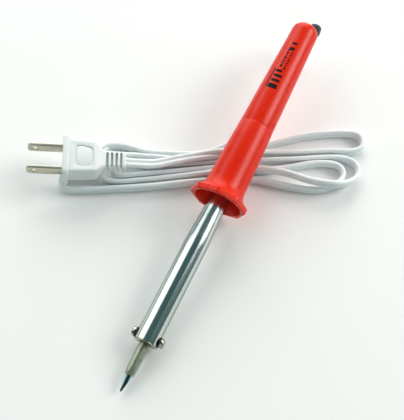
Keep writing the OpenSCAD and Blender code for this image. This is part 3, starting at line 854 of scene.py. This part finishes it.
def grip_radius(station):
    """The grip's outside radius at a station."""
    if station >= GRIP_STATIONS[-1]:
        u = (station - GRIP_STATIONS[-1]) / (IRON_LENGTH - GRIP_STATIONS[-1])
        return GRIP_RADII[-1] * max(0, 1 - u ** DOME_POWER) ** (1 / DOME_POWER)
    i = next(k for k, end in enumerate(GRIP_STATIONS[1:]) if station <= end)
    span = GRIP_STATIONS[i + 1] - GRIP_STATIONS[i]
    t = max(0, (station - GRIP_STATIONS[i]) / span)
    return GRIP_RADII[i] * (1 - t) + GRIP_RADII[i + 1] * t


BORE_R = 3.25
BORE_LENGTH = 22
BORE_AT = (0.6, 0.8, 200)
BORE_LEAN = (10, 14)  # degrees to the right and down


def make_grip():
    """Rear half of the handle, with a bore for the cord sleeve low on its dome."""
    seam_edge = [(8.5, SEAM + 0.04), (8.7, SEAM + 0.06), (8.82, SEAM + 0.2), (8.84, SEAM + 0.5)]
    stations = sorted([156, 172, 186, 200, *GRIP_STATIONS[1:]])
    side = [(grip_radius(s), s) for s in stations]
    dome_from = GRIP_STATIONS[-1]
    dome = [dome_from + (IRON_LENGTH - dome_from) * math.sin(math.radians(a)) for a in range(6, 90, 6)]
    dome = [(grip_radius(s), s) for s in dome]
    inside = [(0, 203), (5.3, 203), (6.9, 166), (6.9, 126.6), (7.7, 126.6), (7.7, SEAM + 0.04)]
    outline = [*seam_edge, *side, *dome, (0, IRON_LENGTH), *inside]
    piece = make_piece("handle_grip", lathe(outline, count=128), ON_IRON, "red_plastic", "iron", smooth=30)
    bore = bmesh.new()
    loft(bore, [circle(BORE_R, station, 48) for station in (0, BORE_LENGTH)])
    right = Matrix.Rotation(math.radians(BORE_LEAN[0]), 4, "Y")
    down = Matrix.Rotation(math.radians(-BORE_LEAN[1]), 4, "X")
    bmesh.ops.transform(bore, matrix=Matrix.Translation(BORE_AT) @ right @ down, verts=bore.verts)
    carve(piece, [bore], smooth=30)
    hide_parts("rear_grip")


def make_print():
    """Generic marks in black ink: a block of plain bars, two rows of dashes and two short bars.

    Each is two stations along the grip and two angles, in degrees from its top."""
    marks = [
        (168, 180.2, -31, -26), (168, 170.7, -23, 11), (172.1, 173.7, -21, 11), (175.1, 176.7, -21, 11),
        (178.1, 179.7, -21, 2), (192.6, 194.6, -15, 6), (196.4, 197.8, -15, 6),
    ]
    station = 181.4
    for length in (1.6, 0.8, 1.2, 1.6, 0.7, 1.2, 1.0):
        marks.append((station, station + length, -17, -8))
        marks.append((station - 1, station + length - 1.2, 1, 8))
        station += length + 0.55
    bm = bmesh.new()
    for mark in marks:
        add_mark(bm, *mark)
    piece = make_piece("handle_print", bm, ON_IRON, "red_plastic", "iron")
    piece.data.materials[0] = INK


def add_mark(bm, low, high, left, right):
    """A thin closed patch, half sunk into the grip's surface."""
    across = max(3, round((right - left) / 3))
    half = 0.02
    rings = []
    for station, lift in ((low, -half), (low, half), (high, half), (high, -half)):
        ring = []
        for i in range(across + 1):
            a = math.radians(left + (right - left) * i / across)
            r = grip_radius(station) + lift
            ring.append((r * math.sin(a), -r * math.cos(a), station))
        rings.append(ring)
    made = [[bm.verts.new(p) for p in ring] for ring in rings]
    for a, b in zip(made, made[1:] + made[:1]):
        for i in range(across):
            bm.faces.new((a[i], a[i + 1], b[i + 1], b[i]))
    bm.faces.new([ring[0] for ring in made])
    bm.faces.new([ring[-1] for ring in made])


make_guard()
make_grip()
make_print()

# ---- floor and light ----

FLOOR_REACH = 2


def make_floor():
    bm = bmesh.new()
    bmesh.ops.create_grid(bm, x_segments=1, y_segments=1, size=FLOOR_REACH)
    mesh = bpy.data.meshes.new("floor")
    bm.to_mesh(mesh)
    bm.free()
    floor = bpy.data.objects.new("floor", mesh)
    bpy.context.scene.collection.objects.link(floor)
    look = Look("floor", (0.95, 0.935, 0.925), 0.6)
    look.tint(look.spread(look.noise(150), 0.3, 0.7, 0, 0.4), (0.9, 0.9, 0.89))
    mesh.materials.append(look.material)


def make_light(name, direction, distance, width, height, radiance, colour):
    """A softbox that faces the object: width is level, height is up its slope."""
    data = bpy.data.lights.new(name, "AREA")
    data.shape = "RECTANGLE"
    data.size = width
    data.size_y = height
    data.energy = radiance * math.pi * width * height
    data.color = colour
    lamp = bpy.data.objects.new(name, data)
    bpy.context.scene.collection.objects.link(lamp)
    toward = Vector(direction).normalized()
    lamp.location = toward * distance
    lamp.rotation_euler = toward.to_track_quat("Z", "Y").to_euler()


def make_world():
    """A dark ceiling that turns into pale walls towards the rear."""
    world = bpy.data.worlds.new("room")
    world.use_nodes = True
    tree = world.node_tree
    back = tree.nodes["Background"]
    place = tree.nodes.new("ShaderNodeTexCoord")
    split = tree.nodes.new("ShaderNodeSeparateXYZ")
    ramp = tree.nodes.new("ShaderNodeMapRange")
    ramp.interpolation_type = "SMOOTHSTEP"
    ramp.inputs["From Min"].default_value = 0.15
    ramp.inputs["From Max"].default_value = 0.75
    mix = tree.nodes.new("ShaderNodeMix")
    mix.data_type = "RGBA"
    mix.inputs[MIX_A].default_value = (0.043, 0.112, 0.112, 1)
    mix.inputs[MIX_B].default_value = (0.55, 0.58, 0.56, 1)
    tree.links.new(place.outputs["Generated"], split.inputs[0])
    tree.links.new(split.outputs["Y"], ramp.inputs["Value"])
    tree.links.new(ramp.outputs[0], mix.inputs[MIX_FACTOR])
    tree.links.new(mix.outputs[MIX_RESULT], back.inputs["Color"])
    bpy.context.scene.world = world


make_floor()
make_world()
WARM = (1, 0.985, 0.965)
make_light("left_window", (-0.775, -0.01, 0.632), 1.4, 0.84, 1.5, 1.6, (1, 0.99, 0.97))
make_light("right_strip", (0.66, 0.505, 0.555), 1.6, 0.77, 0.75, 7.5, WARM)
make_light("right_panel", (0.69, 0.44, 0.57), 1.75, 0.9, 1.5, 0.7, WARM)
make_light("rear_left", (-0.45, 0.75, 0.48), 1.8, 1.9, 1.3, 2.9, WARM)
make_light("front_fill", (0.25, -0.8, 0.55), 2, 1.6, 1, 1.05, (1, 0.985, 0.97))
bpy.context.scene.view_settings.view_transform = "Standard"
